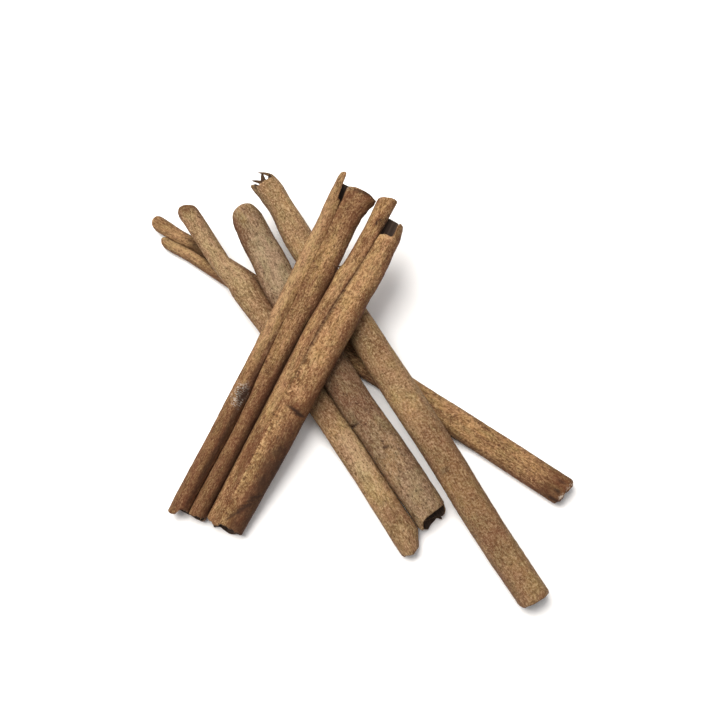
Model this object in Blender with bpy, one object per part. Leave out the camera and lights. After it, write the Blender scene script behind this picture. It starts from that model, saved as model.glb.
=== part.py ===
"""A loose stack of six cinnamon quills, lying as they fell on a flat surface.

Every quill is one sheet of dried bark that curled up as it dried. Two kinds are in the stack: a double
scroll, whose two long edges rolled in towards each other, and a single scroll, rolled up from one edge.
One quill lies flat, three lie across it with their upper ends raised, and two lean on those three.
Sizes are in millimetres until a mesh is made, which is in metres with +Z up.
"""

import math
from dataclasses import dataclass

import bpy
import numpy as np

MM = 0.001

# The bark, in millimetres.
BARK = 0.75
WRAP_GAP = 0.3
SEAM_GAP = 0.3
PITCH = BARK + WRAP_GAP

# The part of each half sheet that lies flat between the two rolls of a double scroll.
LINK_SHARE = 0.075

# How square the top inner corner of a roll gets where the rolls close into one flat face.
FLUSH_POWER = 3

# A spiral starts this much wider than the roll is, so that its widest places come out true.
SPIRAL_SIDE = PITCH * 7 / 12
SPIRAL_TOP = PITCH / 3

# How finely each sheet is cut into faces: columns round the curl, rows along the quill.
DOUBLE_COLUMNS = 29
SINGLE_COLUMNS = 22
ROW_LENGTH = 11.0
SHEET_STEP = 0.002
SMOOTH_BELOW = 50

PALE_BARK = (0.42, 0.27, 0.14)
TAN_BARK = (0.36, 0.22, 0.11)
RED_BARK = (0.26, 0.14, 0.07)
GREY_BARK = (0.30, 0.19, 0.11)


def along(stops, f):
    """Eases through (fraction of the length, value) stops, and stays level at each stop."""
    places = [p for p, _ in stops]
    values = [v for _, v in stops]
    f = np.clip(np.asarray(f, float), places[0], places[-1])
    if len(stops) == 1:
        return np.full_like(f, values[0])
    right = np.clip(np.searchsorted(places, f, side="right"), 1, len(places) - 1)
    start = np.take(places, right - 1)
    t = (f - start) / (np.take(places, right) - start)
    t = t * t * (3 - 2 * t)
    return np.take(values, right - 1) * (1 - t) + np.take(values, right) * t


@dataclass
class Quill:
    """One quill: where it lies, how it bends and how its two ends are broken off."""

    name: str
    colour: tuple
    foot: tuple
    heading: float
    length: float
    lift: tuple
    sway: tuple
    tall: tuple
    foot_reach: tuple
    tip_reach: tuple
    roll: float = 0
    crown: float = 0.3

    def height(self, f):
        """How high the quill stands over its underside."""
        return along(self.tall, f)

    def place(self, sheet, distance, depth):
        """Points on the quill, from the place across the sheet, along the quill and out of the bark."""
        f = distance / self.length
        x, z = self.middle(sheet, f)
        x0, z0 = self.middle(np.clip(sheet - SHEET_STEP, -1, 1), f)
        x1, z1 = self.middle(np.clip(sheet + SHEET_STEP, -1, 1), f)
        size = np.hypot(x1 - x0, z1 - z0)
        x = x + depth * (z1 - z0) / size
        z = z - depth * (x1 - x0) / size - self.height(f) / 2
        turn = math.radians(self.roll)
        across = x * math.cos(turn) - z * math.sin(turn) + along(self.sway, f)
        above = x * math.sin(turn) + z * math.cos(turn) + self.height(f) / 2
        return np.stack([across, distance, above], axis=-1)

    def lay(self, quill):
        """Puts the quill in its place in the stack, from its foot on the ground up to its raised tip."""
        rise = math.asin((self.lift[1] - self.lift[0]) / self.length)
        quill.location = (self.foot[0] * MM, self.foot[1] * MM, self.lift[0] * MM)
        quill.rotation_euler = (rise, 0, math.radians(self.heading - 90))

    def columns(self):
        """Places across the sheet, from -1 at one long edge to 1 at the other."""
        return np.linspace(-1, 1, self.column_count)

    def build(self):
        """The quill as one closed mesh object."""
        sheet = self.columns()
        turn = self.turned(sheet)
        first = -np.interp(turn, *zip(*self.foot_reach))
        last = self.length + np.interp(turn, *zip(*self.tip_reach))
        rows = 1 + round(self.length / ROW_LENGTH)
        share = np.linspace(0, 1, rows)[:, None]
        distance = first * (1 - share) + last * share
        across = np.broadcast_to(sheet, distance.shape)
        outer = self.place(across, distance, BARK / 2)
        inner = self.place(across, distance, -BARK / 2)
        rings = np.concatenate([outer, inner[:, ::-1]], axis=1)
        quill = closed_band(self.name, rings, self.colour)
        self.lay(quill)
        return quill


class DoubleScroll(Quill):
    """A sheet with both long edges rolled in. Its seam is at the top where roll is 0."""

    column_count = DOUBLE_COLUMNS

    def __init__(self, left, right, flush=((0, 0),), sweep=(400, 400), **rest):
        super().__init__(**rest)
        self.left = left
        self.right = right
        self.flush = flush
        self.sweep = sweep

    def turned(self, sheet):
        """Degrees that the bark has turned at each place, negative in the left roll."""
        sweep = np.where(sheet < 0, self.sweep[0], self.sweep[1])
        return np.sign(sheet) * sweep * np.clip(np.abs(sheet) - LINK_SHARE, 0, 1) / (1 - LINK_SHARE)

    def middle(self, sheet, f):
        """The line halfway through the bark, on a plane across the quill."""
        side = np.where(sheet < 0, -1.0, 1.0)
        across = np.where(sheet < 0, along(self.left, f), along(self.right, f))
        radius = (across + PITCH - SEAM_GAP / 2) / 2
        tall = self.height(f) + PITCH / 2
        turn = np.abs(self.turned(sheet))
        angle = np.radians(-90 - turn)
        inset = BARK / 2 + PITCH * turn / 360
        power = 2 + FLUSH_POWER * along(self.flush, f) * ((turn > 180) & (turn < 270))
        square = (np.abs(np.cos(angle)) ** power + np.abs(np.sin(angle)) ** power) ** (-1 / power)
        centre = radius - 0.75 * PITCH + SEAM_GAP / 2
        link = np.clip(np.abs(sheet) / LINK_SHARE, 0, 1)
        x = side * (centre * link - (radius - inset) * square * np.cos(angle))
        z = tall / 2 + (tall / 2 - inset) * square * np.sin(angle)
        swell = np.clip(1 - (x / (2 * radius)) ** 2, 0, 1) * np.clip(1 - z / tall, 0, 1)
        return x, z - self.crown * swell


class SingleScroll(Quill):
    """A sheet rolled up from one long edge. Its outer edge lies at the lower right."""

    column_count = SINGLE_COLUMNS

    def __init__(self, width, sweep=430, outer_edge=-60, **rest):
        super().__init__(**rest)
        self.width = width
        self.sweep = sweep
        self.outer_edge = outer_edge

    def turned(self, sheet):
        """Degrees that the bark has turned, from 0 at its outer edge."""
        return (1 - sheet) / 2 * self.sweep

    def middle(self, sheet, f):
        """The line halfway through the bark, on a plane across the quill."""
        turn = self.turned(sheet)
        angle = np.radians(self.outer_edge - turn)
        inset = BARK / 2 + PITCH * turn / 360
        half_width = along(self.width, f) / 2
        half_height = self.height(f) / 2
        x = (half_width + SPIRAL_SIDE - inset) * np.cos(angle) + PITCH / 4
        z = (half_height + SPIRAL_TOP - inset) * np.sin(angle) + half_height + PITCH / 4
        return x, z


def closed_band(name, rings, colour):
    """A mesh object from rings that each run out along the bark's outside and back along its inside."""
    rows, count, _ = rings.shape
    half = count // 2
    faces = []
    for row in range(rows - 1):
        for column in range(count):
            a = row * count + column
            b = row * count + (column + 1) % count
            faces.append((a, b + count, b))
            faces.append((a, a + count, b + count))
    end = (rows - 1) * count
    for column in range(half - 1):
        a = column
        b = column + 1
        c = count - 2 - column
        d = count - 1 - column
        faces.append((a, b, c))
        faces.append((a, c, d))
        faces.append((end + a, end + c, end + b))
        faces.append((end + a, end + d, end + c))
    mesh = bpy.data.meshes.new(name)
    mesh.from_pydata((rings.reshape(-1, 3) * MM).tolist(), [], faces)
    mesh.shade_smooth()
    mesh.set_sharp_from_angle(angle=math.radians(SMOOTH_BELOW))
    mesh.materials.append(bark_material(name, colour))
    quill = bpy.data.objects.new(name, mesh)
    bpy.context.scene.collection.objects.link(quill)
    return quill


def bark_material(name, colour):
    """Plain matt bark in one colour."""
    material = bpy.data.materials.new(name + "_bark")
    material.use_nodes = True
    shader = material.node_tree.nodes["Principled BSDF"]
    shader.inputs["Base Color"].default_value = (*colour, 1.0)
    shader.inputs["Roughness"].default_value = 0.8
    shader.inputs["Metallic"].default_value = 0.0
    return material


QUILLS = (
    DoubleScroll(
        name="leaning_quill_left",
        colour=TAN_BARK,
        foot=(-47.5, -39.6),
        heading=63.9,
        length=108.3,
        lift=(0.4, 22.2),
        sway=((0, 0.4), (0.28, 1.3), (0.6, 0.9), (0.85, 0.7), (1, 0.2)),
        left=((0, 5.7), (0.28, 6.0), (0.5, 5.3), (0.8, 5.1), (1, 4.3)),
        right=((0, 5.3), (0.28, 4.8), (0.5, 5.8), (0.7, 5.8), (0.88, 6.5), (1, 8.2)),
        tall=((0, 5.4), (0.85, 5.4), (1, 6.2)),
        sweep=(350, 400),
        foot_reach=(
            (-200, -0.4),
            (-150, 1.8),
            (-90, 1.6),
            (-40, 0.2),
            (40, 0.6),
            (90, -1.6),
            (150, -0.6),
            (200, -0.2),
        ),
        tip_reach=(
            (-300, -7),
            (-235, -6),
            (-200, 0.5),
            (-165, 2.4),
            (-90, 2.2),
            (-40, 0),
            (0, -1.2),
            (180, -0.8),
            (270, -1.6),
        ),
    ),
    DoubleScroll(
        name="leaning_quill_right",
        colour=RED_BARK,
        foot=(-37.5, -43.0),
        heading=62.3,
        length=106.6,
        lift=(0.5, 23.3),
        sway=((0, -0.4), (0.58, -0.4), (0.88, 1.7), (1, 1.5)),
        left=((0, 4.2), (0.2, 4.3), (0.5, 4.5), (0.9, 5.1), (1, 5.2)),
        right=((0, 7.1), (0.3, 7.9), (0.5, 8.3), (0.62, 8.5), (0.75, 7.3), (0.9, 6.4), (1, 6.0)),
        tall=((0, 5.2), (0.5, 5.8), (0.9, 5.6), (1, 5.2)),
        flush=((0, 0.9), (0.5, 0.9), (0.66, 0.1), (1, 0)),
        sweep=(370, 420),
        foot_reach=((-200, 0.5), (-90, -0.6), (-40, 0.7), (0, 0.8), (60, 0.3), (150, 0.3), (200, -1.0)),
        tip_reach=(
            (-200, 0.9),
            (-90, -0.8),
            (-40, -1.5),
            (0, -3),
            (60, -3.8),
            (95, -4.6),
            (130, -9.2),
            (240, -9.0),
            (300, -5),
        ),
    ),
    SingleScroll(
        name="crossing_quill_left",
        colour=PALE_BARK,
        foot=(16.4, -51.2),
        heading=122.0,
        length=128.0,
        lift=(0, 6.5),
        sway=((0, 0), (0.05, 0.7), (0.4, 0.9), (0.63, 1.1), (0.76, 0.9), (0.83, -1.0), (1, -0.9)),
        width=((0, 6.4), (0.05, 7.9), (0.2, 7.6), (0.6, 7.6), (0.74, 8.8), (0.77, 8.3), (0.83, 5.8), (1, 6.0)),
        tall=((0, 5.0), (0.7, 5.4), (0.85, 5.4), (1, 5.4)),
        foot_reach=((0, -0.5), (210, -0.3), (300, 0), (430, -1)),
        tip_reach=((0, -1.6), (120, -0.2), (210, -0.9), (300, -1.6), (430, -2)),
    ),
    SingleScroll(
        name="crossing_quill_middle",
        colour=GREY_BARK,
        foot=(21.9, -40.5),
        heading=120.8,
        length=109.2,
        lift=(0.1, 8.1),
        sway=((0, -0.2), (0.2, -0.7), (0.4, -1.7), (0.74, -2.1), (0.88, -0.9), (1, 0)),
        width=((0, 10.2), (0.15, 10.5), (0.33, 10.1), (0.76, 10.9), (0.92, 9.9), (0.97, 9.4), (1, 8.4)),
        tall=((0, 8.2), (0.85, 8.0), (1, 7.2)),
        foot_reach=((0, 2.4), (25, 0.8), (64, 2.8), (85, 1.2), (120, 0.3), (210, 0.8), (300, 0.6), (430, 0)),
        tip_reach=((0, -0.4), (120, -0.4), (210, 1.2), (300, 0), (430, -1.4)),
    ),
    DoubleScroll(
        name="crossing_quill_right",
        colour=PALE_BARK,
        foot=(50.3, -65.2),
        heading=121.1,
        length=150.3,
        lift=(0, 10.8),
        sway=((0, 0), (0.16, -0.4), (0.35, 0.1), (0.62, -0.1), (0.84, -1.1), (0.95, -0.4), (1, -0.3)),
        left=((0, 4.6), (0.3, 4.8), (0.48, 5.0), (0.62, 4.8), (0.86, 4.5), (0.94, 3.8), (1, 4.1)),
        right=((0, 4.6), (0.3, 4.8), (0.48, 5.0), (0.62, 4.8), (0.86, 4.5), (0.94, 3.8), (1, 4.1)),
        tall=((0, 6.4), (0.7, 6.2), (0.93, 5.4), (1, 5.6)),
        crown=1.0,
        roll=180,
        sweep=(310, 310),
        foot_reach=((-90, 0.3), (0, 0.8), (90, -0.3)),
        tip_reach=(
            (-310, 0),
            (-270, 4.6),
            (-180, 2.4),
            (-80, -0.2),
            (-20, -1),
            (20, 0.6),
            (100, 1.8),
            (180, 0),
        ),
    ),
    DoubleScroll(
        name="lowest_quill",
        colour=TAN_BARK,
        foot=(59.7, -33.1),
        heading=144.5,
        length=147.9,
        lift=(0, 0),
        sway=((0, 0.1), (0.4, -0.1), (0.8, 0.5), (0.9, 0), (0.97, -1.1), (1, -1.2)),
        left=((0, 4.5), (0.5, 4.2), (0.8, 4.2), (0.9, 3.6), (1, 2.8)),
        right=((0, 4.5), (0.5, 4.2), (0.9, 4.2), (1, 5.0)),
        tall=((0, 4.8), (0.6, 4.6), (1, 4.3)),
        flush=((0, 0.9), (0.5, 0.8), (0.8, 0), (1, 0)),
        crown=0,
        sweep=(300, 320),
        foot_reach=((-90, 0), (90, 0.3)),
        tip_reach=((-40, -3.2), (0, -1), (60, 2.3), (300, 1.8)),
    ),
)


def main():
    """Clears the scene and builds the stack."""
    for old in list(bpy.data.objects):
        bpy.data.objects.remove(old)
    for quill in QUILLS:
        quill.build()


main()
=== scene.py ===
"""A stack of six dried cinnamon quills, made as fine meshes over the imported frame.

A quill is one sheet of scraped bark that curled up as it dried. Its sizes are in millimetres until its mesh
is made, which is in metres. Two places are used on a sheet: how far it has turned, in degrees, as the curl
goes round, and how far along the quill it is from the foot.
"""

from __future__ import annotations

import logging
import math
from dataclasses import dataclass
from enum import Enum
from functools import partial

import bpy
import numpy as np
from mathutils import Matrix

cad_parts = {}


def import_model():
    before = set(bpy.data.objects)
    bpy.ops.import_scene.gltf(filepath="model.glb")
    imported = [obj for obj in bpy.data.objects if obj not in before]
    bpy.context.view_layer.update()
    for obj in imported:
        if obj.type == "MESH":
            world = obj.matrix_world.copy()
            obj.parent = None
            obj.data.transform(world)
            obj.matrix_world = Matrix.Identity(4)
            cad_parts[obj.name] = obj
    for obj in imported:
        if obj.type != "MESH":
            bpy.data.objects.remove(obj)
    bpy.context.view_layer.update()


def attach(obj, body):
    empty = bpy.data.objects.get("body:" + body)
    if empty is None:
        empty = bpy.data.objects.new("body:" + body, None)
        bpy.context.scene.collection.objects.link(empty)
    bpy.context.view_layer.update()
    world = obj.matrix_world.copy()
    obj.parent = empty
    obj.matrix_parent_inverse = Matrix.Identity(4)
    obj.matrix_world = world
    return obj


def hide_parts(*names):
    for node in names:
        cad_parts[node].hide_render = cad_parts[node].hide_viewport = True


log = logging.getLogger("cinnamon")

Stops = tuple[tuple[float, float], ...]
Array = np.ndarray
Socket = bpy.types.NodeSocket

# A millimetre in metres.
MM = 0.001

# The sheet's thickness, the gaps between its windings and between two rolls, the share of it that links the
# rolls below, and the step that its slope is measured over.
BARK = 0.75
WRAP_GAP = 0.3
SEAM_GAP = 0.3
PITCH = BARK + WRAP_GAP
LINK_SHARE = 0.075
SHEET_STEP = 0.002

# The seam of two rolls: the turns it lies between and its corner's, how square that gets, and how far the
# seam narrows and swells where it has shut.
TOP_TURN = 180
SEAM_CORNER = 225
SEAM_TURN = 270
SEAM_WINDING = SEAM_TURN / 360
FLUSH_POWER = 3
SHUT_POWER = 400
SHUT_NARROWING = 0.97
SHUT_SWELL = 0.45

# The degrees round that corner that are calm, and the millimetres between the columns of the mesh there.
SEAM_CALM = 28
CORNER_STEP = 0.03

# A single scroll: how much wider and higher its curve starts than its outer size, and its shift.
SPIRAL_SIDE = PITCH * 7 / 12
SPIRAL_TOP = PITCH / 3
SPIRAL_SHIFT = PITCH / 4

# How many places across a sheet are tried to find a turn.
CORNER_TRIES = 4001
PATCH_TRIES = 801

# The broken edges: how far in the first rows lie, how far the rounding and the thinning reach and what share
# of the bark they take, and what share of its reach the wear takes.
RIM_INSET = 0.12
ROUND_REACH = 0.24
ROUND_SHARE = 0.45
THIN_REACH = 2.2
THIN_SHARE = 0.35
WEAR_SHARE = 0.35

# How far a patch reaches and how uneven its edge is, in its own sizes.
PATCH_REACH = 1.35
PATCH_UNEVEN = 0.45

# A splinter: how thick its point is, how fast it tapers, its tone, and its grain's length and number.
POINT_SHARE = 0.12
POINT_TAPER = 0.7
SPLINTER_TONE = 0.65
SPLINTER_GRAIN = (3, 5.0)

# The inside keeps half of the outside's ridges and of its dark marks, dirt and painted shade alike, and none
# of its other marks.
INSIDE_RIDGES = 0.5
INSIDE_MARKS = (0, 0.5, 0, 1)

# The order of a quill's finishes, and the degrees above which an edge isn't shaded smooth.
OUTSIDE, INSIDE, BROKEN = range(3)
SHARP_ANGLE = 55

# Keeps the layers of an unevenness apart.
LAYER_STEP = 11.3

# Dry, porous bark scatters nearly all of the light, so its shaded sides stay a warm brown.
BARK_IOR = 1.45
DRY_GLOSS = 0.2
# The colour that the dark marks lay on: dirt, cracks and knots, and painted shade on flanks, in shut seams
# and under a crossing quill.
DIRT_AND_PAINTED_SHADE = "#2c1a10"


def smooth(t: Array) -> Array:
    """Eases shares from 0 to 1 at both ends."""
    return t * t * (3 - 2 * t)


def eased(stops: Stops, f: Array) -> Array:
    """Eases through stops along a quill, and stays level at each.

    Args:
        stops: (fraction of the length, value) pairs, in order.
        f: fractions of the length.

    Returns:
        The value at each fraction.
    """
    places = np.array([p for p, _ in stops], float)
    values = np.array([v for _, v in stops], float)
    f = np.clip(np.asarray(f, float), places[0], places[-1])
    if len(stops) == 1:
        return np.full_like(f, values[0])
    right = np.clip(np.searchsorted(places, f, side="right"), 1, len(places) - 1)
    t = smooth((f - places[right - 1]) / (places[right] - places[right - 1]))
    return values[right - 1] * (1 - t) + values[right] * t


def scatter(i: Array, j: Array, seed: float) -> Array:
    """A fixed number from -1 to 1 for each whole place of a grid, unlike its neighbours'."""
    # Large factors that have nothing in common keep the numbers from repeating.
    n = np.sin(i * 127.1 + j * 311.7 + seed * 74.7) * 43758.5453
    return (n - np.floor(n)) * 2 - 1


@dataclass(frozen=True)
class Bumps:
    """One kind of smooth unevenness over a sheet.

    Attributes:
        wide: millimetres across its widest bump.
        long: millimetres along it.
        number: which of a quill's patterns it is.
        layers: how many times the bumps are halved and added.
    """

    wide: float
    long: float
    number: float
    layers: int = 3

    def at(self, across: Array, along: Array, seed: float) -> Array:
        """Finds how high the bumps stand.

        Args:
            across: millimetres across the sheet.
            along: millimetres along it.
            seed: a number of the sheet's own.

        Returns:
            Heights from about -1 to 1.
        """
        u, v = across / self.wide, along / self.long
        total = np.zeros(np.broadcast(u, v).shape)
        size, weight = 1.0, 1.0
        for layer in range(self.layers):
            x, y = u / size, v / size
            i, j = np.floor(x), np.floor(y)
            s, t = smooth(x - i), smooth(y - j)
            k = seed + self.number + LAYER_STEP * layer
            low = scatter(i, j, k) * (1 - s) + scatter(i + 1, j, k) * s
            high = scatter(i, j + 1, k) * (1 - s) + scatter(i + 1, j + 1, k) * s
            total += weight * (low * (1 - t) + high * t)
            size, weight = size / 2, weight / 2
        return total


# Long ridges, with swells half as high and crumbs of a fixed height in millimetres.
RIDGES = Bumps(2.4, 26, 1)
SWELLS = Bumps(5.0, 9, 2, layers=2)
SWELL_SHARE = 0.5
CRUMBS = Bumps(0.9, 1.5, 3, layers=2)
CRUMB_HEIGHT = 0.045

# Tears of the two ends, uneven edges of patches, and how strong and how uneven a tint is.
FOOT_TEARS = Bumps(2.2, 1, 0)
TIP_TEARS = Bumps(2.2, 1, 5)
PATCH_EDGE = Bumps(1.3, 1.8, 0)
TONES = Bumps(2.5, 5, 7)
TONE_LEVEL = 0.8
TONE_UNEVEN = 0.35


class Mark(Enum):
    """What a place on the bark shows: the channel that its colour is kept in."""

    TONE = 0
    DARK = 1
    GREY = 2


@dataclass(frozen=True)
class Patch:
    """A soft-edged patch on the outside of the bark: mostly stains and scars, some of it painted shade.

    Attributes:
        mark: what the place shows.
        along: millimetres from the foot.
        turn: degrees round the curl.
        size: half length and half width in millimetres.
        strength: how strong the colour is, 0 to 1. A tone is redder above 0 and paler down to -1.
        lean: degrees that the long side leans off the quill's own direction.
        sunk: millimetres that the middle is sunk, or raised if negative.
        ragged: how uneven the edge is, 0 to 1.
    """

    mark: Mark
    along: float
    turn: float
    size: tuple[float, float]
    strength: float = 1.0
    lean: float = 0.0
    sunk: float = 0.0
    ragged: float = 0.5

    def cover(self, across: Array, along: Array, middle: float) -> Array:
        """How much of the patch lies on each place.

        Args:
            across: millimetres across the sheet.
            along: millimetres from the foot.
            middle: the patch's own millimetres across the sheet.

        Returns:
            1 in the middle, down to 0 outside.
        """
        a, b = along - self.along, across - middle
        c, s = math.cos(math.radians(self.lean)), math.sin(math.radians(self.lean))
        away = np.hypot((a * c + b * s) / self.size[0], (b * c - a * s) / self.size[1])
        away = away + self.ragged * PATCH_UNEVEN * PATCH_EDGE.at(across, along, self.along + self.turn)
        return smooth(np.clip(PATCH_REACH - away, 0, 1))


# One maker of patches for each kind of mark.
tone, dark, grey = (partial(Patch, mark) for mark in Mark)


@dataclass(frozen=True)
class Splinter:
    """A thin strip of bark that has torn half off and ends in a point.

    Attributes:
        path: points that it runs through from its root: millimetres right, ahead and up in the quill's frame.
        wide: width at its root in millimetres.
        thick: thickness at its root in millimetres.
        dark: how dark it is, 0 to 1.
    """

    path: tuple[tuple[float, float, float], ...]
    wide: float = 0.7
    thick: float = 0.35
    dark: float = 0.3

    def rings(self, rows: int = 16, sides: int = 8) -> tuple[Array, Array]:
        """Rings of points round its path.

        Args:
            rows: how many rings.
            sides: points on each ring.

        Returns:
            The points in metres, and each point's place on the bark.
        """
        path = np.array(self.path)
        stops = np.linspace(0, 1, len(path))
        t = np.linspace(0, 1, rows)
        centre = np.stack([np.interp(t, stops, path[:, i]) for i in range(3)], axis=-1)
        centre[1:-1] = (centre[:-2] + 2 * centre[1:-1] + centre[2:]) / 4
        ahead = np.gradient(centre, axis=0)
        ahead /= np.linalg.norm(ahead, axis=1, keepdims=True)
        beside = np.cross(ahead, (0, 0, 1))
        beside /= np.linalg.norm(beside, axis=1, keepdims=True)
        above = np.cross(beside, ahead)
        angle = np.linspace(0, 2 * math.pi, sides, endpoint=False)
        size = (POINT_SHARE + (1 - POINT_SHARE) * (1 - t) ** POINT_TAPER)[:, None, None]
        across = beside[:, None] * np.cos(angle)[:, None] * self.wide / 2
        across = across + above[:, None] * np.sin(angle)[:, None] * self.thick / 2
        long, number = SPLINTER_GRAIN
        along = path[0, 1] + long * t[:, None]
        place = np.stack(np.broadcast_arrays(angle * self.wide, along, number), axis=-1)
        return (centre[:, None] + size * across) * MM, place


def linear(code: str) -> tuple[float, float, float, float]:
    """Turns an sRGB hex colour to linear.

    Args:
        code: six hex digits after a number sign.

    Returns:
        Red, green, blue and alpha for a shader socket.
    """
    parts = [int(code[i : i + 2], 16) / 255 for i in (1, 3, 5)]
    r, g, b = [p / 12.92 if p <= 0.04045 else ((p + 0.055) / 1.055) ** 2.4 for p in parts]
    return r, g, b, 1.0


def add(
    tree: bpy.types.NodeTree,
    kind: str,
    links: dict[str | int, Socket] | None = None,
    **settings: object,
) -> bpy.types.Node:
    """Adds a node.

    Args:
        tree: the material's tree.
        kind: the node's type, without ShaderNode before it.
        links: input name or number, and the output that feeds it.
        settings: the node's own settings; inputs is a dict of input name or number and value.

    Returns:
        The new node.
    """
    node = tree.nodes.new("ShaderNode" + kind)
    values = settings.pop("inputs", {})
    for name, value in settings.items():
        setattr(node, name, value)
    for name, value in values.items():
        node.inputs[name].default_value = value
    for name, source in (links or {}).items():
        tree.links.new(source, node.inputs[name])
    return node


class BarkNodes:
    """A bark finish's material, and the few steps that its patterns are made with.

    Attributes:
        material: the material.
        tree: its nodes.
        shader: its Principled node.
        grain: places on the bark in millimetres: across, along, and the quill's own number.
        twist: how much its patterns wind.
    """

    def __init__(self, name: str, roughness: float, twist: float = 0.0) -> None:
        """Starts a matt material.

        Args:
            name: the material's name.
            roughness: of its surface.
            twist: how much its patterns wind.
        """
        self.material = bpy.data.materials.new(name)
        self.material.use_nodes = True
        self.tree = self.material.node_tree
        self.shader = self.tree.nodes["Principled BSDF"]
        self.shader.inputs["Roughness"].default_value = roughness
        self.shader.inputs["IOR"].default_value = BARK_IOR
        self.shader.inputs["Specular IOR Level"].default_value = DRY_GLOSS
        self.grain = add(self.tree, "Attribute", attribute_name="grain").outputs["Vector"]
        self.twist = twist

    def marks(self) -> dict[Mark, Socket]:
        """Reads the quill's marks.

        Returns:
            The channel of each kind of mark.
        """
        colour = add(self.tree, "Attribute", attribute_name="marks").outputs["Color"]
        channels = add(self.tree, "SeparateColor", {0: colour}).outputs
        return {mark: channels[mark.value] for mark in Mark}

    def pattern(self, wide: float, long: float, detail: float, harsh: float = 0.6) -> Socket:
        """Noise stretched along the quill.

        Args:
            wide: millimetres across a fibre or cloud.
            long: millimetres along it.
            detail: how many finer layers it has.
            harsh: how strong the finer layers are.

        Returns:
            The noise's factor.
        """
        scale = (1 / wide, 1 / long, 1)
        sized = add(self.tree, "Mapping", {"Vector": self.grain}, inputs={"Scale": scale})
        values = {"Scale": 1.0, "Detail": detail, "Roughness": harsh, "Distortion": self.twist}
        return add(self.tree, "TexNoise", {"Vector": sized.outputs[0]}, inputs=values).outputs["Fac"]

    def lay(
        self,
        below: Socket | str,
        colour: str,
        share: Socket,
        span: tuple[float, float] | None = None,
        most: float = 1.0,
        blend: str = "MIX",
    ) -> Socket:
        """Lays one colour over another.

        Args:
            below: the colour underneath, as a socket or sRGB hex.
            colour: sRGB hex of what lies over it.
            share: the pattern that it shows by.
            span: what of the pattern shows none of it and most of it, if those aren't 0 and 1.
            most: how much of it shows where it shows most.
            blend: how the two are mixed.

        Returns:
            The mixed colour.
        """
        if span is not None:
            values = {"From Min": span[0], "From Max": span[1], "To Min": 0.0, "To Max": most}
            share = add(self.tree, "MapRange", {"Value": share}, inputs=values).outputs["Result"]
        values = {7: linear(colour)}
        mix = add(self.tree, "Mix", {0: share}, data_type="RGBA", blend_type=blend, inputs=values)
        if isinstance(below, str):
            mix.inputs[6].default_value = linear(below)
        else:
            self.tree.links.new(below, mix.inputs[6])
        return mix.outputs[2]

    def finish(self, colour: Socket, height: Socket, strength: float, distance: float) -> bpy.types.Material:
        """Gives the shader its colour and its fine relief.

        Args:
            colour: the colour.
            height: the pattern that stands up.
            strength: how strong the relief is, 0 to 1.
            distance: how high it stands, in metres.

        Returns:
            The material.
        """
        self.tree.links.new(colour, self.shader.inputs["Base Color"])
        bump = add(self.tree, "Bump", {"Height": height}, inputs={"Strength": strength, "Distance": distance})
        self.tree.links.new(bump.outputs[0], self.shader.inputs["Normal"])
        return self.material


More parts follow.
